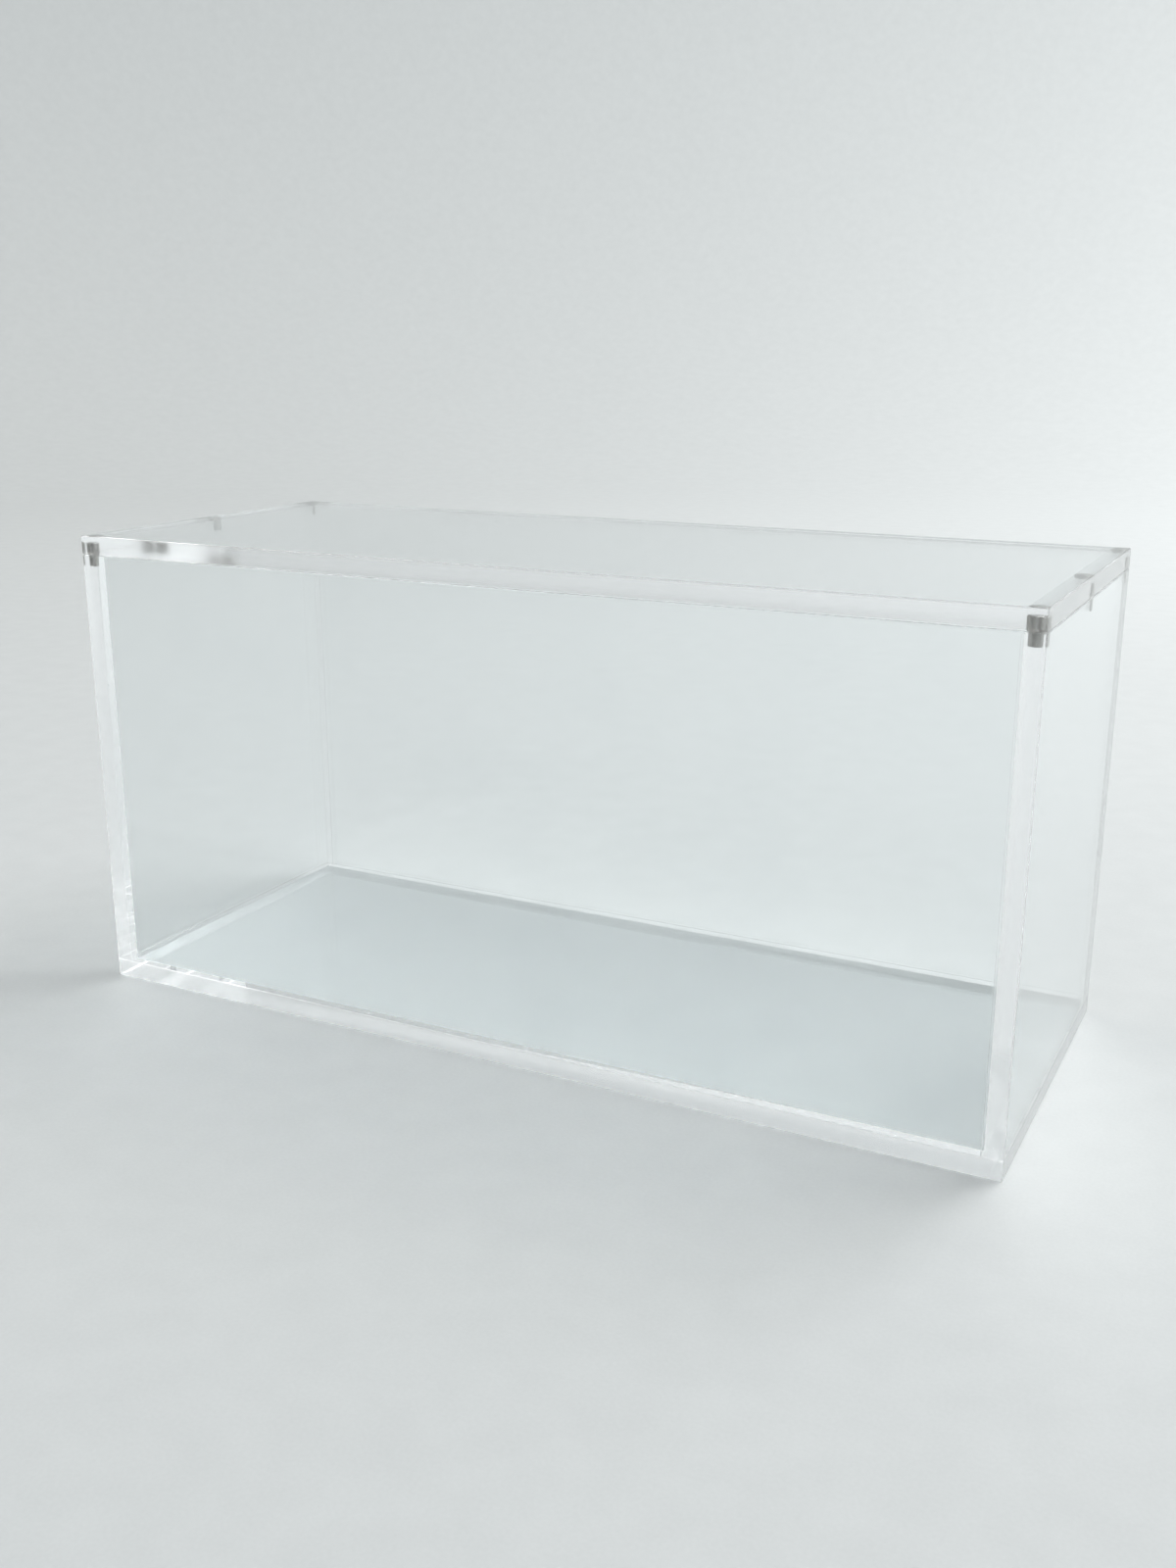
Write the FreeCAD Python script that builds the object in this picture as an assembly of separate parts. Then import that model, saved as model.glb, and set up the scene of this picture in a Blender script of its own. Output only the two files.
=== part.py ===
import FreeCAD, Part
import os

# Clear acrylic display case: a bonded open box and a loose flat lid that magnets hold shut.
# Millimetres. X runs along the width, Y from the front panel to the back panel, Z is up.
# The origin is the middle of the base plate's underside.

# Outside of the closed case
case_width = 250.0
case_depth = 100.0
case_height = 124.5

# Thickness of each acrylic plate, and the bevel that breaks its exposed edges
base_thickness = 5.0
end_wall_thickness = 5.0
panel_thickness = 5.0
lid_thickness = 5.0
edge_bevel = 0.3

# Cylinder magnets, a wider one in the lid over each one in the rim of an end wall
lid_magnet_diameter = 4.0
lid_magnet_length = 3.0
rim_magnet_diameter = 3.0
rim_magnet_length = 3.0
magnet_bevel = 0.2

# How the magnets sit: axis to the front or back face, face below the plate, glue round the side
magnet_end_inset = 3.0
magnet_recess = 0.1
glue_gap = 0.05
cut_overrun = 1.0

# Places that several pieces share
rim_height = case_height - lid_thickness
wall_height = rim_height - base_thickness
end_wall_centre = (case_width - end_wall_thickness) / 2
panel_centre = (case_depth - panel_thickness) / 2
panel_width = case_width - 2 * end_wall_thickness
magnet_reach = case_depth / 2 - magnet_end_inset

LEFT = FreeCAD.Vector(-1, 0, 0)
RIGHT = FreeCAD.Vector(1, 0, 0)
FRONT = FreeCAD.Vector(0, -1, 0)
BACK = FreeCAD.Vector(0, 1, 0)
UP = FreeCAD.Vector(0, 0, 1)
DOWN = FreeCAD.Vector(0, 0, -1)
direction_tolerance_share = 0.001

END_WALLS = {"left": (-end_wall_centre, RIGHT), "right": (end_wall_centre, LEFT)}
PANELS = {"front": (-panel_centre, BACK), "back": (panel_centre, FRONT)}
MAGNET_ROWS = {"front": -magnet_reach, "mid": 0, "back": magnet_reach}


# A rectangular plate with bevelled edges, apart from the edges of the sides that stay sharp
def plate(width, depth, height, centre_x, centre_y, bottom, sharp_sides):
    corner = FreeCAD.Vector(centre_x - width / 2, centre_y - depth / 2, bottom)
    blank = Part.makeBox(width, depth, height, corner)
    sharp_edges = []
    for face in blank.Faces:
        normal = face.normalAt(0, 0)
        if any(normal.isEqual(side, direction_tolerance_share) for side in sharp_sides):
            sharp_edges.extend(face.Edges)
    bevelled = []
    for edge in blank.Edges:
        if not any(edge.isSame(sharp) for sharp in sharp_edges):
            bevelled.append(edge)
    return blank.makeChamfer(edge_bevel, bevelled)


# An upright cylinder on one magnet's axis
def upright_cylinder(diameter, length, axis_x, axis_y, bottom):
    foot = FreeCAD.Vector(axis_x, axis_y, bottom)
    return Part.makeCylinder(diameter / 2, length, foot, UP)


# A magnet with both of its round edges bevelled
def magnet(diameter, length, axis_x, axis_y, bottom):
    body = upright_cylinder(diameter, length, axis_x, axis_y, bottom)
    rims = [edge for edge in body.Edges if isinstance(edge.Curve, Part.Circle)]
    return body.makeChamfer(magnet_bevel, rims)


# The blind pocket for a magnet, cut past the mouth so that it opens cleanly
def pocket(magnet_diameter, magnet_length, axis_x, axis_y, bottom):
    bore = magnet_diameter + 2 * glue_gap
    depth = magnet_length + magnet_recess + cut_overrun
    return upright_cylinder(bore, depth, axis_x, axis_y, bottom)


# Base plate: full size, with the walls standing on its sharp upper edges
nodes = {"base_plate": plate(case_width, case_depth, base_thickness, 0, 0, 0, [UP])}

# Lid: full size, bevelled all round, lying loose on the rim
lid = plate(case_width, case_depth, lid_thickness, 0, 0, rim_height, [])

# Front and back panels between the end walls, with only the outer rim edge bevelled
for panel_name, (centre_y, inner_side) in PANELS.items():
    sharp = [LEFT, RIGHT, DOWN, inner_side]
    nodes[panel_name + "_panel"] = plate(
        panel_width, panel_thickness, wall_height, 0, centre_y, base_thickness, sharp
    )

# End walls over the full depth, with the magnets in their rims and in the lid above
rim_magnet_bottom = rim_height - magnet_recess - rim_magnet_length
lid_magnet_bottom = rim_height + magnet_recess
for wall_name, (centre_x, inner_side) in END_WALLS.items():
    wall = plate(
        end_wall_thickness, case_depth, wall_height, centre_x, 0, base_thickness, [DOWN, inner_side]
    )
    for row_name, row_y in MAGNET_ROWS.items():
        place = row_name + "_" + wall_name
        rim_magnet = (rim_magnet_diameter, rim_magnet_length, centre_x, row_y)
        lid_magnet = (lid_magnet_diameter, lid_magnet_length, centre_x, row_y)
        wall = wall.cut(pocket(*rim_magnet, rim_magnet_bottom))
        lid = lid.cut(pocket(*lid_magnet, rim_height - cut_overrun))
        nodes["rim_magnet_" + place] = magnet(*rim_magnet, rim_magnet_bottom)
        nodes["lid_magnet_" + place] = magnet(*lid_magnet, lid_magnet_bottom)
    nodes[wall_name + "_wall"] = wall
nodes["lid"] = lid

os.makedirs("parts", exist_ok=True)
for node_name, shape in nodes.items():
    solid = shape.Solids[0]
    print(node_name, "valid" if solid.isValid() else "INVALID", round(solid.Volume, 1), "mm3")
    solid.exportStep("parts/" + node_name + ".step")
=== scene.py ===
"""Dress the clear acrylic display case: bonded plates, loose lid, magnets, studio and camera."""
import logging
import math
from collections.abc import Iterable
from dataclasses import dataclass, field
from enum import Enum

import bmesh
import bpy
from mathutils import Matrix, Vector


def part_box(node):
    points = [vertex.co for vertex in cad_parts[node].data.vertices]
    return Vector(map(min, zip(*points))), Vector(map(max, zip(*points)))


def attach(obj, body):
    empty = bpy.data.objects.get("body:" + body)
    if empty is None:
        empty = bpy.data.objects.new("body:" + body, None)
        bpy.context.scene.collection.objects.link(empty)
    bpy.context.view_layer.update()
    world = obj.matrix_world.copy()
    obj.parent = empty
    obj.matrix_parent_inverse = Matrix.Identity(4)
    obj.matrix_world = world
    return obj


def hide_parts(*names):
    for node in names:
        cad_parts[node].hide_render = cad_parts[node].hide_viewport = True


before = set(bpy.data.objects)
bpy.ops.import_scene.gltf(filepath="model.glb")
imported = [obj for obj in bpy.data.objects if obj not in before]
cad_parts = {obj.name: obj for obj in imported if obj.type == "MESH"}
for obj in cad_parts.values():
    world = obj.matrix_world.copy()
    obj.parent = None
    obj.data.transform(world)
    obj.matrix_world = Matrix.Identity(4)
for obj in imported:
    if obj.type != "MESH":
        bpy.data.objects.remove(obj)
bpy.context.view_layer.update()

LOG = logging.getLogger("display_case")
MM = 0.001
QUARTER_TURN = math.pi / 2
FULL_TURN = 2 * math.pi
FLAT_NORMAL = 0.9999
PLACE_DIGITS = 6
ACRYLIC_INDEX = 1.49
MAGNET_PLACE = "place_in_magnet"
EDGE_MAP = "along_edge"

Socket = bpy.types.NodeSocket
Outputs = bpy.types.NodeOutputs
Value = float | tuple[float, ...] | Socket
Span = tuple[float, float]
Triple = tuple[float, float, float]
Colour = tuple[float, float, float, float]

WHOLE_SPAN: Span = (0.0, 1.0)
UNTURNED: Triple = (0.0, 0.0, 0.0)


class Body(Enum):
    """The rigid bodies that pieces ride on."""

    CASE = "case"
    LID = "lid"


class Slot(Enum):
    """The record's material slots."""

    ACRYLIC = "clear_acrylic"
    NICKEL = "magnet_nickel"


class Face(Enum):
    """What a face of a plate is, as the number of its material slot."""

    SHEET = 0
    CUT_EDGE = 1
    ARRIS = 2
    SEAM = 3
    POCKET = 4


class Side(Enum):
    """The six sides of a plate, as an axis number and a direction along it."""

    LEFT = (0, -1)
    RIGHT = (0, 1)
    FRONT = (1, -1)
    BACK = (1, 1)
    DOWN = (2, -1)
    UP = (2, 1)


class Detail(Enum):
    """How many finer layers a noise has."""

    NONE = 0.0
    LITTLE = 1.0
    SOME = 2.0
    MUCH = 3.0
    MOST = 4.0


class TreeWriter:
    """Adds and links the nodes of one tree."""

    def __init__(self, tree: bpy.types.NodeTree) -> None:
        """Keep the tree that is written to."""
        self.tree = tree

    def feed(self, socket: Socket, value: Value) -> None:
        """Link an output to a socket, or set the socket's plain value.

        Args:
            socket: The input to feed.
            value: Another node's output, or a number, vector or colour.
        """
        if isinstance(value, Socket):
            self.tree.links.new(value, socket)
        else:
            socket.default_value = value

    def add(
        self,
        kind: str,
        inputs: dict[str | int, Value] | None = None,
        **settings: object,
    ) -> bpy.types.Node:
        """Add a node.

        Args:
            kind: Blender's name for the type of node.
            inputs: What feeds its sockets, by socket name or number.
            **settings: The node's own options.

        Returns:
            The new node.
        """
        node = self.tree.nodes.new(kind)
        for name, value in settings.items():
            setattr(node, name, value)
        for key, value in (inputs or {}).items():
            self.feed(node.inputs[key], value)
        return node

    def maths(self, operation: str, *operands: Value) -> Socket:
        """Return the output of a Math node over the given operands."""
        inputs = dict(enumerate(operands))
        return self.add("ShaderNodeMath", inputs, operation=operation).outputs[0]

    def share(self, amount: float, first: Value, second: Value) -> Socket:
        """Return a share of the first value with the rest made up of the second."""
        rest = self.maths("MULTIPLY", second, 1 - amount)
        return self.maths("MULTIPLY_ADD", first, amount, rest)

    def ramp(self, value: Value, span: Span, start: Value = 0.0, end: Value = 1.0) -> Socket:
        """Map a value from one range to another, held at both ends.

        Args:
            value: What is mapped.
            span: The values that give start and end.
            start: The result at or below the span.
            end: The result at or above the span.

        Returns:
            The mapped value.
        """
        inputs = {"Value": value, "To Min": start, "To Max": end}
        inputs["From Min"], inputs["From Max"] = span
        return self.add("ShaderNodeMapRange", inputs).outputs["Result"]

    def scaled(self, place: Value, factor: Value) -> Socket:
        """Return coordinates times a factor."""
        inputs = {0: place, "Scale": factor}
        return self.add("ShaderNodeVectorMath", inputs, operation="SCALE").outputs[0]

    def millimetres(self) -> Socket:
        """Return the piece's own coordinates in millimetres."""
        place = self.add("ShaderNodeTexCoord").outputs["Object"]
        return self.scaled(place, 1 / MM)

    def noise(self, place: Value, size: float = 1.0, detail: Detail = Detail.SOME) -> Socket:
        """Return noise whose blotches are about as wide as the size, in the units of the place."""
        inputs = {"Vector": place, "Scale": 1 / size, "Detail": detail.value}
        return self.add("ShaderNodeTexNoise", inputs).outputs[0]

    def stretched(self, place: Value, scale: Triple, turn: Triple = UNTURNED) -> Socket:
        """Turn coordinates, and then scale them along each axis.

        Args:
            place: The coordinates.
            scale: The factor along each axis.
            turn: The turn about each axis in degrees.

        Returns:
            The new coordinates.
        """
        angles = tuple(math.radians(angle) for angle in turn)
        turned = self.add("ShaderNodeMapping", {"Vector": place, "Rotation": angles}).outputs[0]
        return self.add("ShaderNodeMapping", {"Vector": turned, "Scale": scale}).outputs[0]

    def cells(self, place: Value, per_unit: float) -> tuple[Socket, Outputs]:
        """Scatter points through space.

        Args:
            place: The coordinates.
            per_unit: How many points there are to a unit of length.

        Returns:
            The distance to the nearest point, and three random tones of that point.
        """
        points = self.add("ShaderNodeTexVoronoi", {"Vector": place, "Scale": per_unit}).outputs
        tones = self.add("ShaderNodeSeparateColor", {0: points["Color"]}).outputs
        return points["Distance"], tones

    def blend(self, share: Value, first: Value, second: Value) -> Socket:
        """Mix two colours.

        Args:
            share: How much of the second colour there is.
            first: The colour at no share.
            second: The colour at full share.

        Returns:
            The mixed colour.
        """
        node = self.add("ShaderNodeMix", data_type="RGBA")
        factor, from_colour, to_colour = node.inputs[0], node.inputs[6], node.inputs[7]
        for socket, value in ((factor, share), (from_colour, first), (to_colour, second)):
            self.feed(socket, value)
        return node.outputs[2]


@dataclass(frozen=True)
class ShaderEffect:
    """A shader node group that finishes share, with the values it takes and gives."""

    name: str
    inputs: tuple[str, ...]
    outputs: tuple[str, ...]

    def group(self) -> bpy.types.NodeTree:
        """Build the node group on its first use.

        Returns:
            The group's tree.
        """
        found = bpy.data.node_groups.get(self.name)
        if found is not None:
            return found
        tree = bpy.data.node_groups.new(self.name, "ShaderNodeTree")
        for in_out, names in (("INPUT", self.inputs), ("OUTPUT", self.outputs)):
            for name in names:
                tree.interface.new_socket(name=name, in_out=in_out, socket_type="NodeSocketFloat")
        writer = TreeWriter(tree)
        given = writer.add("NodeGroupInput").outputs
        writer.add("NodeGroupOutput", self.write(writer, given))
        return tree

    def write(self, writer: TreeWriter, given: Outputs) -> dict[str, Socket]:
        """Write the effect's nodes and return what feeds each output."""
        raise NotImplementedError

    def place(self, writer: TreeWriter, values: dict[str, float]) -> Outputs:
        """Put the group into a material with its own values.

        Args:
            writer: The material's writer.
            values: The group's inputs by name.

        Returns:
            The group's outputs.
        """
        node = writer.add("ShaderNodeGroup", node_tree=self.group())
        for name, value in values.items():
            node.inputs[name].default_value = value
        return node.outputs


@dataclass(frozen=True)
class HandlingMarks(ShaderEffect):
    """Smudges, hairline scratches, dust specks and the slow ripple of a polished surface."""

    name: str = "handling_marks"
    inputs: tuple[str, ...] = (
        "Clean Roughness",
        "Smudge Roughness",
        "Scratch Roughness",
        "Speck Roughness",
        "Ripple Height",
    )
    outputs: tuple[str, ...] = ("Roughness", "Height", "Marks")
    smudge_size: float = 38.0
    smudge_span: Span = (0.52, 0.74)
    scratch_turns: tuple[Triple, ...] = ((20.0, 35.0, 12.0), (-55.0, 10.0, 70.0))
    scratch_stretch: Triple = (4.0, 0.02, 4.0)
    scratch_span: Span = (0.80, 0.84)
    scratch_depth: float = 0.002
    patch_size: float = 23.0
    patch_span: Span = (0.50, 0.62)
    specks_per_mm: float = 0.08
    speck_span: Span = (0.7, 1.0)
    speck_radius: float = 0.009
    ripple_size: float = 80.0

    def write(self, writer: TreeWriter, given: Outputs) -> dict[str, Socket]:
        """Write the marks, in millimetres of the piece's own coordinates.

        Args:
            writer: The group's writer.
            given: The group's inputs.

        Returns:
            What feeds each output.
        """
        place = writer.millimetres()
        blotches = writer.noise(place, self.smudge_size, Detail.MOST)
        smudge = writer.ramp(blotches, self.smudge_span)
        scratches: list[Socket] = []
        for turn in self.scratch_turns:
            streaks = writer.stretched(place, self.scratch_stretch, turn)
            line = writer.ramp(writer.noise(streaks, detail=Detail.NONE), self.scratch_span)
            patches = writer.noise(place, self.patch_size, Detail.LITTLE)
            here = writer.ramp(patches, self.patch_span)
            scratches.append(writer.maths("MULTIPLY", line, here))
        scratch = writer.maths("MAXIMUM", *scratches)
        distance, tones = writer.cells(place, self.specks_per_mm)
        radius = writer.ramp(tones[0], self.speck_span, 0.0, self.speck_radius)
        speck = writer.maths("LESS_THAN", distance, radius)
        masks = {
            "Smudge Roughness": smudge,
            "Scratch Roughness": scratch,
            "Speck Roughness": speck,
        }
        rough = given["Clean Roughness"]
        for amount, mask in masks.items():
            rough = writer.maths("MULTIPLY_ADD", mask, given[amount], rough)
        waves = writer.noise(place, self.ripple_size, Detail.LITTLE)
        ripple = writer.maths("MULTIPLY", waves, given["Ripple Height"])
        height = writer.maths("MULTIPLY_ADD", scratch, -self.scratch_depth, ripple)
        marks = writer.maths("MAXIMUM", smudge, speck)
        return {"Roughness": rough, "Height": height, "Marks": marks}


@dataclass(frozen=True)
class PolishLines(ShaderEffect):
    """The fine lines that polishing leaves along a cut edge, on the piece's own edge map."""

    name: str = "polish_lines"
    inputs: tuple[str, ...] = ("Least Roughness", "Most Roughness", "Line Depth")
    outputs: tuple[str, ...] = ("Roughness", "Height", "Lines")
    streak_stretch: Triple = (0.03, 1.6, 1.0)
    feed_stretch: Triple = (0.45, 0.05, 1.0)
    feed_turn: Triple = (0.0, 0.0, 4.0)
    feed_share: float = 0.4
    rough_span: Span = (0.3, 0.7)

    def write(self, writer: TreeWriter, given: Outputs) -> dict[str, Socket]:
        """Write streaks along the edge and fainter feed marks across it.

        Args:
            writer: The group's writer.
            given: The group's inputs.

        Returns:
            What feeds each output.
        """
        edge_map = writer.add("ShaderNodeUVMap", uv_map=EDGE_MAP).outputs[0]
        streaks = writer.noise(writer.stretched(edge_map, self.streak_stretch))
        across = writer.stretched(edge_map, self.feed_stretch, self.feed_turn)
        feed_marks = writer.noise(across, detail=Detail.LITTLE)
        lines = writer.share(self.feed_share, feed_marks, streaks)
        least, most = given["Least Roughness"], given["Most Roughness"]
        rough = writer.ramp(lines, self.rough_span, least, most)
        height = writer.maths("MULTIPLY", lines, given["Line Depth"])
        return {"Roughness": rough, "Height": height, "Lines": lines}


@dataclass(frozen=True)
class SeamFlaws(ShaderEffect):
    """The faint haze and the few trapped bubbles in a bonded or glued face."""

    name: str = "seam_flaws"
    inputs: tuple[str, ...] = ("Haze", "Bubble Share")
    outputs: tuple[str, ...] = ("Alpha", "Bubbles")
    spots_per_mm: float = 0.22
    bubble_radii: Span = (0.03, 0.12)
    bubble_alpha: float = 0.5
    wisp_size: float = 6.0
    wisp_span: Span = (0.35, 0.75)

    def write(self, writer: TreeWriter, given: Outputs) -> dict[str, Socket]:
        """Write the share of light that the seam holds back.

        Args:
            writer: The group's writer.
            given: The group's inputs.

        Returns:
            What feeds each output.
        """
        place = writer.millimetres()
        distance, tones = writer.cells(place, self.spots_per_mm)
        picked = writer.maths("LESS_THAN", tones[1], given["Bubble Share"])
        radius = writer.ramp(tones[0], WHOLE_SPAN, *self.bubble_radii)
        inside = writer.maths("LESS_THAN", distance, radius)
        bubble = writer.maths("MULTIPLY", inside, picked)
        clouds = writer.noise(place, self.wisp_size, Detail.MOST)
        haze = writer.maths("MULTIPLY", writer.ramp(clouds, self.wisp_span), given["Haze"])
        alpha = writer.maths("MULTIPLY_ADD", bubble, self.bubble_alpha, haze)
        return {"Alpha": alpha, "Bubbles": bubble}


@dataclass(frozen=True)
class FineGrain(ShaderEffect):
    """A close grain with slow drift, for plated metal and for the paper of the sweep."""

    name: str = "fine_grain"
    inputs: tuple[str, ...] = ("Fineness", "Depth")
    outputs: tuple[str, ...] = ("Tone", "Height")
    drift_size: float = 14.0
    drift_share: float = 0.5
    tone_span: Span = (0.3, 0.7)

    def write(self, writer: TreeWriter, given: Outputs) -> dict[str, Socket]:
        """Write the grain, in millimetres of the piece's own coordinates.

        Args:
            writer: The group's writer.
            given: The group's inputs.

        Returns:
            What feeds each output.
        """
        place = writer.scaled(writer.millimetres(), given["Fineness"])
        grain = writer.noise(place, detail=Detail.MUCH)
        drift = writer.noise(place, self.drift_size)
        mixed = writer.share(self.drift_share, drift, grain)
        height = writer.maths("MULTIPLY", grain, given["Depth"])
        return {"Tone": writer.ramp(mixed, self.tone_span), "Height": height}


HANDLING_MARKS = HandlingMarks()
POLISH_LINES = PolishLines()
SEAM_FLAWS = SeamFlaws()
FINE_GRAIN = FineGrain()


@dataclass(frozen=True)
class MarkLevels:
    """How much each kind of mark roughens a finish, and how high it ripples in millimetres."""

    clean: float
    smudge: float
    scratch: float
    speck: float
    ripple: float = 0.0

    def values(self) -> dict[str, float]:
        """Return the levels by the names of the group's inputs."""
        levels = (self.clean, self.smudge, self.scratch, self.speck, self.ripple)
        return dict(zip(HANDLING_MARKS.inputs, levels))


@dataclass(frozen=True)
class Finish:
    """A finish that becomes one material."""

    name: str

    def material(self) -> bpy.types.Material:
        """Build the material on its first use.

        Returns:
            The material.
        """
        found = bpy.data.materials.get(self.name)
        if found is not None:
            return found
        made = bpy.data.materials.new(self.name)
        made.use_nodes = True
        made.node_tree.nodes.clear()
        writer = TreeWriter(made.node_tree)
        shader = writer.add("ShaderNodeBsdfPrincipled")
        writer.add("ShaderNodeOutputMaterial", {"Surface": shader.outputs[0]})
        self.dress(writer, shader.inputs)
        return made

    def dress(self, writer: TreeWriter, sockets: bpy.types.NodeInputs) -> None:
        """Set the shader's plain values and link what varies over the surface."""
        raise NotImplementedError

    def bump(self, writer: TreeWriter, height: Socket) -> Socket:
        """Return the normal of a height that is given in millimetres."""
        inputs = {"Height": height, "Distance": MM, "Strength": 1.0}
        return writer.add("ShaderNodeBump", inputs).outputs[0]

    def make_clear(self, sockets: bpy.types.NodeInputs) -> None:
        """Let light through, bent as acrylic bends it."""
        sockets["IOR"].default_value = ACRYLIC_INDEX
        sockets["Transmission Weight"].default_value = 1.0


@dataclass(frozen=True)
class ClearAcrylic(Finish):
    """The polished faces of the sheet."""

    tint: Colour = (0.975, 0.99, 0.992, 1.0)
    worn_tint: Colour = (0.955, 0.972, 0.976, 1.0)
    levels: MarkLevels = MarkLevels(clean=0.0, smudge=0.02, scratch=0.2, speck=0.3, ripple=0.006)

    def dress(self, writer: TreeWriter, sockets: bpy.types.NodeInputs) -> None:
        """Make it clear, with marks of handling in its gloss.

        Args:
            writer: The material's writer.
            sockets: The shader's inputs.
        """
        marks = HANDLING_MARKS.place(writer, self.levels.values())
        colour = writer.blend(marks["Marks"], self.tint, self.worn_tint)
        writer.feed(sockets["Base Color"], colour)
        writer.feed(sockets["Roughness"], marks["Roughness"])
        writer.feed(sockets["Normal"], self.bump(writer, marks["Height"]))
        self.make_clear(sockets)


@dataclass(frozen=True)
class WorkedEdge(Finish):
    """The cut edges of the sheet and their scraped arrises: polished, but a little milky."""

    least_roughness: float = 0.18
    most_roughness: float = 0.25
    line_depth: float = 0.0015
    tint: Colour = (0.995, 0.998, 1.0, 1.0)
    line_tint: Colour = (0.978, 0.985, 0.992, 1.0)

    def dress(self, writer: TreeWriter, sockets: bpy.types.NodeInputs) -> None:
        """Make it clear and slightly streaked along the edge.

        Args:
            writer: The material's writer.
            sockets: The shader's inputs.
        """
        values = {
            "Least Roughness": self.least_roughness,
            "Most Roughness": self.most_roughness,
            "Line Depth": self.line_depth,
        }
        lines = POLISH_LINES.place(writer, values)
        colour = writer.blend(lines["Lines"], self.tint, self.line_tint)
        writer.feed(sockets["Base Color"], colour)
        writer.feed(sockets["Roughness"], lines["Roughness"])
        writer.feed(sockets["Normal"], self.bump(writer, lines["Height"]))
        self.make_clear(sockets)


@dataclass(frozen=True)
class BondedFace(Finish):
    """A face that solvent or glue has joined to the next piece, so light passes it unbent."""

    haze: float
    bubble_share: float
    roughness: float = 0.35
    pale: Colour = (0.9, 0.92, 0.93, 1.0)
    grey: Colour = (0.42, 0.43, 0.44, 1.0)

    def dress(self, writer: TreeWriter, sockets: bpy.types.NodeInputs) -> None:
        """Show only the haze and the bubbles.

        Args:
            writer: The material's writer.
            sockets: The shader's inputs.
        """
        values = {"Haze": self.haze, "Bubble Share": self.bubble_share}
        flaws = SEAM_FLAWS.place(writer, values)
        colour = writer.blend(flaws["Bubbles"], self.pale, self.grey)
        writer.feed(sockets["Base Color"], colour)
        writer.feed(sockets["Alpha"], flaws["Alpha"])
        sockets["Roughness"].default_value = self.roughness


@dataclass(frozen=True)
class NickelPlate(Finish):
    """Bright nickel with the fine grain of tumbled parts, streaked along each magnet's axis: the
    dark and light streaks are partly plating marks and partly painted reflection.
    """

    # The colour runs from the dark to the light end of the streaks. Besides being plating marks,
    # the dark streaks are partly painted shade and the light ones partly painted highlight.
    dark_streak_and_painted_shade: Colour = (0.26, 0.255, 0.24, 1.0)
    light_streak_and_painted_highlight: Colour = (0.62, 0.61, 0.59, 1.0)
    levels: MarkLevels = MarkLevels(clean=0.1, smudge=0.1, scratch=0.2, speck=0.1)
    fineness: float = 5.0
    grain_depth: float = 0.004
    grain_share: float = 0.3
    grain_roughness: float = 0.12
    streak_stretch: Triple = (1 / MM, 1 / MM, 0.05 / MM)
    streak_and_reflection_size: float = 1.1
    streak_and_reflection_span: Span = (0.36, 0.64)

    def dress(self, writer: TreeWriter, sockets: bpy.types.NodeInputs) -> None:
        """Vary its tone and gloss with the grain and with streaks that are partly plating marks and
        partly painted reflection.

        Args:
            writer: The material's writer.
            sockets: The shader's inputs.
        """
        grain = FINE_GRAIN.place(writer, {"Fineness": self.fineness, "Depth": self.grain_depth})
        marks = HANDLING_MARKS.place(writer, self.levels.values())
        local = writer.add("ShaderNodeAttribute", attribute_name=MAGNET_PLACE).outputs["Vector"]
        # These streaks round the magnet are drawn with strong contrast. They are partly plating
        # marks and partly painted reflection bands.
        around = writer.stretched(local, self.streak_stretch)
        streak_noise_and_painted_reflection = writer.noise(around, self.streak_and_reflection_size, Detail.LITTLE)
        streaks = writer.ramp(streak_noise_and_painted_reflection, self.streak_and_reflection_span)
        tone = writer.share(self.grain_share, grain["Tone"], streaks)
        rough = writer.maths(
            "MULTIPLY_ADD", grain["Tone"], self.grain_roughness, marks["Roughness"]
        )
        writer.feed(sockets["Base Color"], writer.blend(tone, self.dark_streak_and_painted_shade, self.light_streak_and_painted_highlight))
        writer.feed(sockets["Roughness"], rough)
        writer.feed(sockets["Normal"], self.bump(writer, grain["Height"]))
        sockets["Metallic"].default_value = 1.0


@dataclass(frozen=True)
class SweepPaper(Finish):
    """The pale matt paper under and behind the case."""

    low: Colour = (0.62, 0.64, 0.64, 1.0)
    high: Colour = (0.66, 0.68, 0.68, 1.0)
    fineness: float = 1.2
    grain_depth: float = 0.01
    roughness: float = 0.8
    gloss: float = 0.2

    def dress(self, writer: TreeWriter, sockets: bpy.types.NodeInputs) -> None:
        """Give it a faint grain.

        Args:
            writer: The material's writer.
            sockets: The shader's inputs.
        """
        grain = FINE_GRAIN.place(writer, {"Fineness": self.fineness, "Depth": self.grain_depth})
        writer.feed(sockets["Base Color"], writer.blend(grain["Tone"], self.low, self.high))
        writer.feed(sockets["Normal"], self.bump(writer, grain["Height"]))
        sockets["Roughness"].default_value = self.roughness
        sockets["Specular IOR Level"].default_value = self.gloss


SHEET_FINISH = ClearAcrylic("clear_acrylic_sheet")
EDGE_FINISH = WorkedEdge("polished_acrylic_edge")
ARRIS_FINISH = WorkedEdge("scraped_acrylic_arris", least_roughness=0.22, most_roughness=0.26)
SEAM_FINISH = BondedFace("solvent_seam", haze=0.03, bubble_share=0.1)
POCKET_FINISH = BondedFace("pocket_glue", haze=0.1, bubble_share=0.3)
NICKEL_FINISH = NickelPlate("magnet_nickel_plate")
PAPER_FINISH = SweepPaper("sweep_paper")


def link_mesh(name: str, mesh: bpy.types.Mesh) -> bpy.types.Object:
    """Put a mesh into the scene as an object at the origin.

    Args:
        name: The piece's name.
        mesh: Its mesh, with its place in its vertices.

    Returns:
        The new object.
    """
    piece = bpy.data.objects.new(name, mesh)
    bpy.context.scene.collection.objects.link(piece)
    return piece


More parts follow.
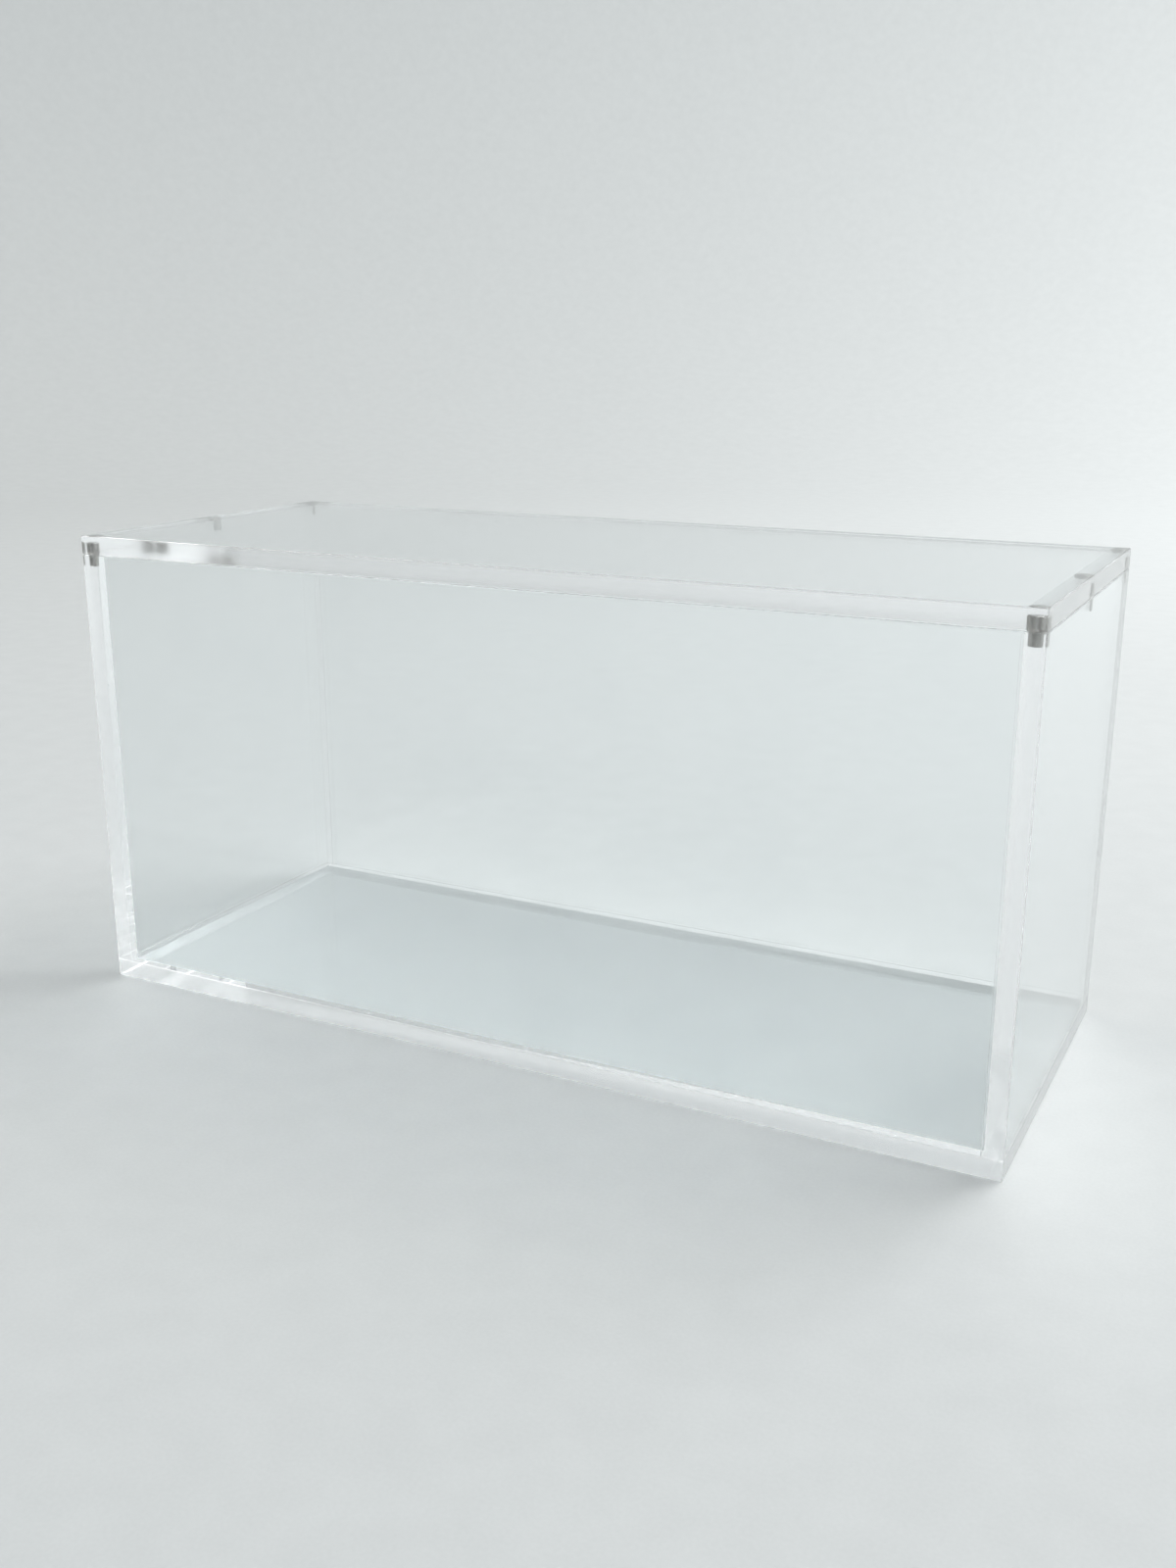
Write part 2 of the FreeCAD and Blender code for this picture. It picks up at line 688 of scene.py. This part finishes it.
def apply_modifiers(piece: bpy.types.Object) -> None:
    """Replace a piece's mesh by what its modifiers make of it, and remove them.

    Args:
        piece: The piece.
    """
    bpy.context.view_layer.update()
    evaluated = piece.evaluated_get(bpy.context.evaluated_depsgraph_get())
    made = bpy.data.meshes.new_from_object(evaluated)
    made.name = piece.name
    raw = piece.data
    piece.modifiers.clear()
    piece.data = made
    bpy.data.meshes.remove(raw)


def settle(piece: bpy.types.Object, body: Body, nodes: Iterable[str]) -> None:
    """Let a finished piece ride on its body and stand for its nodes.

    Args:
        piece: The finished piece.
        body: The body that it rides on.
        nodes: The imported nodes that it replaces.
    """
    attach(piece, body.value)
    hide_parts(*nodes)
    LOG.info("%s: %d faces on %s", piece.name, len(piece.data.polygons), body.value)


def point_at(thing: bpy.types.Object, place: Triple, aim: Triple) -> None:
    """Put a lamp or camera into the scene at a place and turn it towards a point.

    Args:
        thing: The lamp or camera.
        place: Where it stands.
        aim: What it faces.
    """
    thing.location = place
    thing.rotation_euler = (Vector(aim) - Vector(place)).to_track_quat("-Z", "Y").to_euler()
    bpy.context.scene.collection.objects.link(thing)


def centre_of(node: str) -> Vector:
    """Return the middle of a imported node's box."""
    low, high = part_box(node)
    return (Vector(low) + Vector(high)) / 2


def size_of(node: str) -> Vector:
    """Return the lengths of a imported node's box."""
    low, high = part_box(node)
    return Vector(high) - Vector(low)


def geometry_tree(name: str, sizes: Iterable[str]) -> tuple[TreeWriter, Outputs]:
    """Start a Geometry Nodes tree with a geometry in and out and a material.

    Args:
        name: The tree's name.
        sizes: The names of its inputs for sizes.

    Returns:
        A writer for the tree and the outputs of its group input.
    """
    tree = bpy.data.node_groups.new(name, "GeometryNodeTree")
    add = tree.interface.new_socket
    add(name="Geometry", in_out="INPUT", socket_type="NodeSocketGeometry")
    for size in sizes:
        add(name=size, in_out="INPUT", socket_type="NodeSocketFloat")
    add(name="Material", in_out="INPUT", socket_type="NodeSocketMaterial")
    add(name="Geometry", in_out="OUTPUT", socket_type="NodeSocketGeometry")
    writer = TreeWriter(tree)
    return writer, writer.add("NodeGroupInput").outputs


def close_tree(writer: TreeWriter, geometry: Socket, material: Socket) -> None:
    """End a Geometry Nodes tree with real geometry in one material.

    Args:
        writer: The tree's writer.
        geometry: What the tree has made.
        material: The tree's material input.
    """
    real = writer.add("GeometryNodeRealizeInstances", {"Geometry": geometry})
    inputs = {"Geometry": real.outputs[0], "Material": material}
    painted = writer.add("GeometryNodeSetMaterial", inputs)
    writer.add("NodeGroupOutput", {"Geometry": painted.outputs[0]})


def use_tree(
    piece: bpy.types.Object, tree: bpy.types.NodeTree, values: dict[str, object]
) -> None:
    """Add a Geometry Nodes modifier and set its inputs.

    Args:
        piece: The object that the tree works on.
        tree: The tree.
        values: The inputs' values by socket name.
    """
    modifier = piece.modifiers.new(tree.name, "NODES")
    modifier.node_group = tree
    for item in tree.interface.items_tree:
        if item.item_type == "SOCKET" and item.in_out == "INPUT" and item.name in values:
            modifier[item.identifier] = values[item.name]


@dataclass(frozen=True)
class MagnetGrid:
    """Where the magnets stand: two rows of three, one row over each end wall."""

    row_gap: float
    row_length: float
    rows: int = 2
    in_row: int = 3

    @classmethod
    def from_frame(cls) -> "MagnetGrid":
        """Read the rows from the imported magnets.

        Returns:
            The grid.
        """
        front_left = centre_of("rim_magnet_front_left")
        back_right = centre_of("rim_magnet_back_right")
        span = back_right - front_left
        return cls(row_gap=span.x, row_length=span.y)

    def values(self) -> dict[str, float]:
        """Return the grid's own tree inputs by name."""
        return {"Row Gap": self.row_gap, "Row Length": self.row_length}

    def points(self, writer: TreeWriter, given: Outputs) -> Socket:
        """Write nodes for the points of the grid.

        Args:
            writer: The tree's writer.
            given: The tree's inputs, with Row Gap, Row Length and Middle among them.

        Returns:
            The points.
        """
        sizes = {"Size X": given["Row Gap"], "Size Y": given["Row Length"]}
        grid = writer.add("GeometryNodeMeshGrid", sizes)
        grid.inputs["Vertices X"].default_value = self.rows
        grid.inputs["Vertices Y"].default_value = self.in_row
        lift = writer.add("ShaderNodeCombineXYZ", {"Z": given["Middle"]})
        inputs = {"Geometry": grid.outputs["Mesh"], "Translation": lift.outputs[0]}
        return writer.add("GeometryNodeTransform", inputs).outputs[0]


@dataclass
class Plate:
    """One acrylic plate: a bevelled sheet with bonded seams and, in some, magnet pockets."""

    node: str
    sharp_sides: tuple[Side, ...]
    neighbours: tuple[str, ...] = ()
    bevel: float = 0.3 * MM
    seam_bevel_share: float = 0.3
    bevel_steps: int = 3
    smooth_angle: float = 40.0
    lift: float = 0.0
    pocket_tree: bpy.types.NodeTree | None = None
    pocket_values: dict[str, object] = field(default_factory=dict)

    def box(self) -> tuple[Vector, Vector]:
        """Return the lowest and highest corner of the plate."""
        low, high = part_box(self.node)
        return Vector(low) + Vector((0.0, 0.0, self.lift)), Vector(high)

    def build(self) -> bpy.types.Object:
        """Make the plate's mesh and dress its faces.

        Returns:
            The plate's object.
        """
        piece = link_mesh("clear_" + self.node, self.blank())
        bevel = piece.modifiers.new("edge_bevel", "BEVEL")
        bevel.limit_method = "WEIGHT"
        bevel.offset_type = "OFFSET"
        bevel.width = self.bevel
        bevel.segments = self.bevel_steps
        bevel.use_clamp_overlap = False
        if self.pocket_tree is not None:
            use_tree(piece, self.pocket_tree, self.pocket_values)
        apply_modifiers(piece)
        self.cut_at_seams(piece.data)
        self.dress(piece.data)
        return piece

    def blank(self) -> bpy.types.Mesh:
        """Make the plate's box, with the width of each edge's bevel as a weight.

        Returns:
            The box.
        """
        low, high = self.box()
        work = bmesh.new()
        bmesh.ops.create_cube(work, size=1.0)
        for vertex in work.verts:
            for axis in range(3):
                vertex.co[axis] = low[axis] if vertex.co[axis] < 0 else high[axis]
        weights = work.edges.layers.float.new("bevel_weight_edge")
        for edge in work.edges:
            edge[weights] = self.seam_bevel_share if self.is_sharp(edge) else 1.0
        mesh = bpy.data.meshes.new(self.node)
        work.to_mesh(mesh)
        work.free()
        return mesh

    def is_sharp(self, edge: bmesh.types.BMEdge) -> bool:
        """Tell whether an edge lies on a side that keeps its sharp edges.

        Args:
            edge: An edge of the plate's box.

        Returns:
            Whether it does.
        """
        for side in self.sharp_sides:
            axis, sign = side.value
            if any(face.normal[axis] * sign > FLAT_NORMAL for face in edge.link_faces):
                return True
        return False

    def seam_borders(self) -> list[tuple[int, float]]:
        """List where the bonded plates end on this one.

        Returns:
            Each border once, as an axis and a place along it.
        """
        low, high = self.box()
        found: set[tuple[int, float]] = set()
        for neighbour in self.neighbours:
            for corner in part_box(neighbour):
                for axis in range(3):
                    if low[axis] + self.bevel < corner[axis] < high[axis] - self.bevel:
                        found.add((axis, round(corner[axis], PLACE_DIGITS)))
        return sorted(found)

    def cut_at_seams(self, mesh: bpy.types.Mesh) -> None:
        """Cut the faces along the borders of the plates that are bonded to this one.

        Args:
            mesh: The plate's mesh.
        """
        work = bmesh.new()
        work.from_mesh(mesh)
        for axis, place in self.seam_borders():
            along = Vector((0.0, 0.0, 0.0))
            along[axis] = 1.0
            everything = work.verts[:] + work.edges[:] + work.faces[:]
            bmesh.ops.bisect_plane(work, geom=everything, plane_co=along * place, plane_no=along)
        work.to_mesh(mesh)
        work.free()

    def dress(self, mesh: bpy.types.Mesh) -> None:
        """Give each face its material, its shading and its place on the edge map.

        Args:
            mesh: The plate's mesh.
        """
        mesh.materials.clear()
        for finish in (SHEET_FINISH, EDGE_FINISH, ARRIS_FINISH, SEAM_FINISH, POCKET_FINISH):
            mesh.materials.append(finish.material())
        mesh.set_sharp_from_angle(angle=math.radians(self.smooth_angle))
        edge_map = mesh.uv_layers.new(name=EDGE_MAP)
        low, high = self.box()
        lengths = high - low
        thin = min(range(3), key=lambda axis: lengths[axis])
        for polygon in mesh.polygons:
            facing = max(range(3), key=lambda axis: abs(polygon.normal[axis]))
            flat = abs(polygon.normal[facing]) > FLAT_NORMAL
            polygon.use_smooth = not flat
            polygon.material_index = self.face_kind(polygon, flat, facing == thin).value
            along, across = self.map_axes(facing, thin)
            for loop in polygon.loop_indices:
                place = mesh.vertices[mesh.loops[loop].vertex_index].co
                edge_map.data[loop].uv = (place[along] / MM, place[across] / MM)

    def map_axes(self, facing: int, thin: int) -> tuple[int, int]:
        """Choose the axes of the edge map on a face.

        Args:
            facing: The axis that the face looks along.
            thin: The axis of the plate's thickness.

        Returns:
            The axes along and across: across is the thickness on a cut edge.
        """
        others = [axis for axis in range(3) if axis != facing]
        if thin in others:
            others.remove(thin)
            return others[0], thin
        return others[0], others[1]

    def face_kind(self, polygon: bpy.types.MeshPolygon, flat: bool, on_sheet: bool) -> Face:
        """Tell what a face is from where it lies.

        Args:
            polygon: The face.
            flat: Whether it is square to an axis.
            on_sheet: Whether it faces along the plate's thickness.

        Returns:
            The kind of face.
        """
        if self.in_pocket(polygon.center):
            return Face.POCKET
        if not flat:
            return Face.ARRIS
        ahead = polygon.center + polygon.normal * self.bevel
        if any(self.holds(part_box(neighbour), ahead) for neighbour in self.neighbours):
            return Face.SEAM
        return Face.SHEET if on_sheet else Face.CUT_EDGE

    def in_pocket(self, place: Vector) -> bool:
        """Tell whether a place is on the wall or floor of a magnet pocket.

        Args:
            place: The middle of a face.

        Returns:
            Whether it is well inside a plate that has pockets.
        """
        if self.pocket_tree is None:
            return False
        low, high = self.box()
        skin = Vector((1.0, 1.0, 1.0)) * (self.bevel / 2)
        inner_low, inner_high = low + skin, high - skin
        return all(inner_low[axis] < place[axis] < inner_high[axis] for axis in range(3))

    @staticmethod
    def holds(box: tuple[Vector, Vector], place: Vector) -> bool:
        """Tell whether a box holds a place."""
        return all(box[0][axis] <= place[axis] <= box[1][axis] for axis in range(3))


@dataclass
class MagnetPockets:
    """The blind pockets of the magnets, cut by one tree."""

    grid: MagnetGrid
    name: str = "magnet_pockets"
    glue_gap: float = 0.05 * MM
    overrun: float = 1.0 * MM
    facets: int = 48

    def tree(self) -> bpy.types.NodeTree:
        """Build the tree that cuts a pocket at each point of the grid, on its first use.

        Returns:
            The tree.
        """
        found = bpy.data.node_groups.get(self.name)
        if found is not None:
            return found
        sizes = ("Row Gap", "Row Length", "Middle", "Bore", "Depth")
        writer, given = geometry_tree(self.name, sizes)
        radius = writer.maths("DIVIDE", given["Bore"], 2.0)
        shape = {"Radius": radius, "Depth": given["Depth"]}
        cutter = writer.add("GeometryNodeMeshCylinder", shape)
        cutter.inputs["Vertices"].default_value = self.facets
        points = self.grid.points(writer, given)
        inputs = {"Points": points, "Instance": cutter.outputs["Mesh"]}
        cutters = writer.add("GeometryNodeInstanceOnPoints", inputs)
        real = writer.add("GeometryNodeRealizeInstances", {"Geometry": cutters.outputs[0]})
        cut = writer.add("GeometryNodeMeshBoolean", operation="DIFFERENCE")
        writer.feed(cut.inputs["Mesh 1"], given["Geometry"])
        writer.feed(cut.inputs["Mesh 2"], real.outputs[0])
        close_tree(writer, cut.outputs["Mesh"], given["Material"])
        return writer.tree

    def values(self, magnet: str, mouth_up: bool) -> dict[str, object]:
        """Work out the tree's inputs for the pockets of one kind of magnet.

        Args:
            magnet: A packed magnet of that kind.
            mouth_up: Whether the pockets open upwards, where the cut runs past the mouth.

        Returns:
            The values by input name.
        """
        size = size_of(magnet)
        shift = self.overrun / 2 if mouth_up else -self.overrun / 2
        return {
            **self.grid.values(),
            "Bore": size.x + 2 * self.glue_gap,
            "Depth": size.z + self.overrun,
            "Middle": centre_of(magnet).z + shift,
            "Material": SHEET_FINISH.material(),
        }


@dataclass
class MagnetSet:
    """The magnets of one body: plated cylinders with rounded rims, on the points of the grid."""

    kind: str
    body: Body
    grid: MagnetGrid
    rim_radius: float = 0.22 * MM
    rim_steps: int = 3
    facets: int = 64

    def nodes(self) -> list[str]:
        """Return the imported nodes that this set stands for."""
        return [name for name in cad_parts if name.startswith(self.kind)]

    def build(self) -> bpy.types.Object:
        """Make the set as one mesh.

        Returns:
            The set's object.
        """
        sample = self.nodes()[0]
        size = size_of(sample)
        piece = link_mesh(self.kind + "s", bpy.data.meshes.new(self.kind))
        values = {
            **self.grid.values(),
            "Radius": size.x / 2,
            "Length": size.z,
            "Rim Radius": self.rim_radius,
            "Middle": centre_of(sample).z,
            "Material": NICKEL_FINISH.material(),
        }
        use_tree(piece, self.tree(), values)
        apply_modifiers(piece)
        self.dress(piece.data)
        return piece

    def dress(self, mesh: bpy.types.Mesh) -> None:
        """Shade everything smooth but the flat ends."""
        for polygon in mesh.polygons:
            polygon.use_smooth = abs(polygon.normal.z) < FLAT_NORMAL

    def tree(self) -> bpy.types.NodeTree:
        """Build the tree that puts one rounded magnet on each point of the grid.

        Returns:
            The tree.
        """
        sizes = ("Row Gap", "Row Length", "Middle", "Radius", "Length", "Rim Radius")
        writer, given = geometry_tree(self.kind + "_rows", sizes)
        straight = writer.maths("MULTIPLY_ADD", given["Rim Radius"], -2.0, given["Length"])
        shape = {"Radius": given["Radius"], "Depth": straight}
        body = writer.add("GeometryNodeMeshCylinder", shape)
        body.inputs["Vertices"].default_value = self.facets
        mesh = body.outputs["Mesh"]
        for end in ("Top", "Bottom"):
            mesh = self.round_end(
                writer, mesh, body.outputs[end], given["Radius"], given["Rim Radius"]
            )
        local = writer.add("GeometryNodeInputPosition").outputs[0]
        noted = writer.add("GeometryNodeStoreNamedAttribute", data_type="FLOAT_VECTOR")
        for socket, value in {"Geometry": mesh, "Name": MAGNET_PLACE, "Value": local}.items():
            writer.feed(noted.inputs[socket], value)
        points = self.grid.points(writer, given)
        inputs = {"Points": points, "Instance": noted.outputs[0]}
        rows = writer.add("GeometryNodeInstanceOnPoints", inputs)
        close_tree(writer, rows.outputs[0], given["Material"])
        return writer.tree

    def round_end(
        self, writer: TreeWriter, mesh: Socket, end: Socket, radius: Socket, rim: Socket
    ) -> Socket:
        """Round one rim in steps: each pushes the end face out and draws it in.

        Args:
            writer: The tree's writer.
            mesh: The magnet so far.
            end: The selection of the end face.
            radius: The magnet's radius.
            rim: The radius of its rounded rim.

        Returns:
            The magnet with that end rounded.
        """
        flat_radius = writer.maths("SUBTRACT", radius, rim)
        before = radius
        for step in range(self.rim_steps):
            start = QUARTER_TURN * step / self.rim_steps
            stop = QUARTER_TURN * (step + 1) / self.rim_steps
            rise = writer.maths("MULTIPLY", rim, math.sin(stop) - math.sin(start))
            after = writer.maths("MULTIPLY_ADD", rim, math.cos(stop), flat_radius)
            inputs = {"Mesh": mesh, "Selection": end, "Offset Scale": rise}
            pushed = writer.add("GeometryNodeExtrudeMesh", inputs)
            pushed.inputs["Individual"].default_value = False
            end = pushed.outputs["Top"]
            drawing = {
                "Geometry": pushed.outputs["Mesh"],
                "Selection": end,
                "Scale": writer.maths("DIVIDE", after, before),
            }
            mesh = writer.add("GeometryNodeScaleElements", drawing).outputs[0]
            before = after
        return mesh


@dataclass
class BondedBox:
    """The open box: base plate, end walls and panels, bonded along their edges."""

    pockets: MagnetPockets
    magnets: MagnetSet

    def plates(self) -> list[Plate]:
        """List the plates with the sides that stay sharp and the plates they are bonded to.

        Returns:
            The base plate, the end walls and the panels.
        """
        base = "base_plate"
        walls = ("left_wall", "right_wall")
        panels = ("front_panel", "back_panel")
        made = [Plate(base, (Side.UP,), walls + panels)]
        for wall, inner in zip(walls, (Side.RIGHT, Side.LEFT)):
            plate = Plate(wall, (Side.DOWN, inner), (base,) + panels)
            plate.pocket_tree = self.pockets.tree()
            plate.pocket_values = self.pockets.values("rim_magnet_front_left", mouth_up=True)
            made.append(plate)
        for panel, inner in zip(panels, (Side.BACK, Side.FRONT)):
            made.append(Plate(panel, (Side.DOWN, Side.LEFT, Side.RIGHT, inner), (base,) + walls))
        return made

    def build(self) -> None:
        """Make every piece of the box and let it ride on the case."""
        for plate in self.plates():
            settle(plate.build(), Body.CASE, [plate.node])
        settle(self.magnets.build(), self.magnets.body, self.magnets.nodes())


@dataclass
class LooseLid:
    """The flat lid that lies on the rim, with the wider magnets in its underside."""

    pockets: MagnetPockets
    magnets: MagnetSet
    air_gap: float = 0.08 * MM

    def build(self) -> None:
        """Make the lid and its magnets and let them ride on the lid's body."""
        plate = Plate("lid", (), lift=self.air_gap)
        plate.pocket_tree = self.pockets.tree()
        plate.pocket_values = self.pockets.values("lid_magnet_front_left", mouth_up=False)
        settle(plate.build(), Body.LID, ["lid"])
        settle(self.magnets.build(), self.magnets.body, self.magnets.nodes())


@dataclass(frozen=True)
class Softbox:
    """A square soft lamp that faces a point: sizes in metres, power in watts, spread in degrees."""

    name: str
    place: Triple
    aim: Triple
    size: float
    power: float
    spread: float = 180.0
    colour: Triple = (1.0, 1.0, 1.0)

    def hang(self) -> None:
        """Make the lamp and put it into the scene."""
        data = bpy.data.lights.new(self.name, "AREA")
        data.size = self.size
        data.energy = self.power
        data.spread = math.radians(self.spread)
        data.color = self.colour
        point_at(bpy.data.objects.new(self.name, data), self.place, self.aim)


LAMPS = (
    Softbox("window_softbox", (1.0, 1.1, 2.0), (0.0, 0.0, 0.05), size=1.5, power=36.0),
    Softbox("wall_wash", (0.75, 1.2, 0.9), (0.15, 2.3, 0.45), size=0.8, power=7.0),
    Softbox(
        "back_light",
        (0.5, 0.85, 1.35),
        (0.22, 0.36, 0.0),
        size=0.6,
        power=0.45,
        spread=60.0,
    ),
    Softbox(
        "left_fill",
        (-1.5, 0.5, 1.4),
        (-0.25, 0.0, 0.0),
        size=1.0,
        power=3.0,
        colour=(1.0, 0.9, 0.78),
    ),
)


@dataclass
class Studio:
    """The pale round sweep, the soft lamps and the dim room above."""

    lamps: tuple[Softbox, ...] = LAMPS
    floor_drop: float = 0.1 * MM
    floor_radius: float = 1.4
    middle_share: float = 0.35
    bend_radius: float = 0.9
    wall_top: float = 2.2
    bend_steps: int = 24
    facets: int = 128
    room_light: float = 0.6
    room_colour: Colour = (0.96, 0.98, 1.0, 1.0)
    mirror_bounces: int = 128
    clear_bounces: int = 64

    def build(self) -> None:
        """Set the sweep, the lamps, the room and the view."""
        self.sweep()
        for lamp in self.lamps:
            lamp.hang()
        self.set_room()
        self.set_view()
        LOG.info("studio: a sweep and %d lamps", len(self.lamps))

    def set_room(self) -> None:
        """Fill the room with dim light from all sides."""
        world = bpy.data.worlds.new("dim_room")
        bpy.context.scene.world = world
        world.use_nodes = True
        background = world.node_tree.nodes["Background"]
        background.inputs["Color"].default_value = self.room_colour
        background.inputs["Strength"].default_value = self.room_light

    def set_view(self) -> None:
        """Show colours plainly, and follow light through many plates."""
        scene = bpy.context.scene
        scene.view_settings.view_transform = "Standard"
        scene.cycles.blur_glossy = 0.0
        scene.cycles.max_bounces = self.mirror_bounces
        scene.cycles.glossy_bounces = self.mirror_bounces
        scene.cycles.transmission_bounces = self.clear_bounces
        scene.cycles.transparent_max_bounces = self.clear_bounces

    def profile(self) -> list[tuple[float, float]]:
        """Draw the sweep's profile: floor, bend and wall.

        Returns:
            The points from the middle outwards, as radius and height.
        """
        points = [(self.floor_radius * self.middle_share, 0.0)]
        for step in range(self.bend_steps + 1):
            turn = QUARTER_TURN * step / self.bend_steps
            out = self.floor_radius + self.bend_radius * math.sin(turn)
            points.append((out, self.bend_radius * (1 - math.cos(turn))))
        points.append((self.floor_radius + self.bend_radius, self.wall_top))
        return [(out, up - self.floor_drop) for out, up in points]

    def sweep(self) -> bpy.types.Object:
        """Turn the profile round the case.

        Returns:
            The stage.
        """
        work = bmesh.new()
        rings: list[list[bmesh.types.BMVert]] = []
        for out, up in self.profile():
            ring = []
            for facet in range(self.facets):
                turn = FULL_TURN * facet / self.facets
                ring.append(work.verts.new((out * math.cos(turn), out * math.sin(turn), up)))
            rings.append(ring)
        work.faces.new(rings[0])
        for inner, outer in zip(rings, rings[1:]):
            for facet in range(self.facets):
                after = (facet + 1) % self.facets
                work.faces.new((inner[facet], outer[facet], outer[after], inner[after]))
        for face in work.faces:
            face.smooth = True
        mesh = bpy.data.meshes.new("sweep")
        work.to_mesh(mesh)
        work.free()
        mesh.materials.append(PAPER_FINISH.material())
        return link_mesh("sweep", mesh)


@dataclass
class PhotoCamera:
    """The camera, where the photograph was taken from."""

    place: Triple = (0.1819, -0.3563, 0.1750)
    aim: Triple = (-0.0006, 0.0, 0.0600)
    lens_mm: float = 35.82
    sensor_mm: float = 36.0
    nearest: float = 0.01

    def build(self) -> None:
        """Make the camera and give it to the scene."""
        data = bpy.data.cameras.new("photo_camera")
        data.lens = self.lens_mm
        data.sensor_width = self.sensor_mm
        data.clip_start = self.nearest
        camera = bpy.data.objects.new("photo_camera", data)
        point_at(camera, self.place, self.aim)
        bpy.context.scene.camera = camera
        LOG.info("camera: %.2f mm lens", self.lens_mm)


def main() -> None:
    """Build the case, its lid, the studio and the camera."""
    logging.basicConfig(level=logging.INFO, format="%(message)s")
    grid = MagnetGrid.from_frame()
    pockets = MagnetPockets(grid)
    BondedBox(pockets, MagnetSet("rim_magnet", Body.CASE, grid)).build()
    LooseLid(pockets, MagnetSet("lid_magnet", Body.LID, grid)).build()
    Studio().build()
    PhotoCamera().build()


if __name__ == "__main__":
    main()
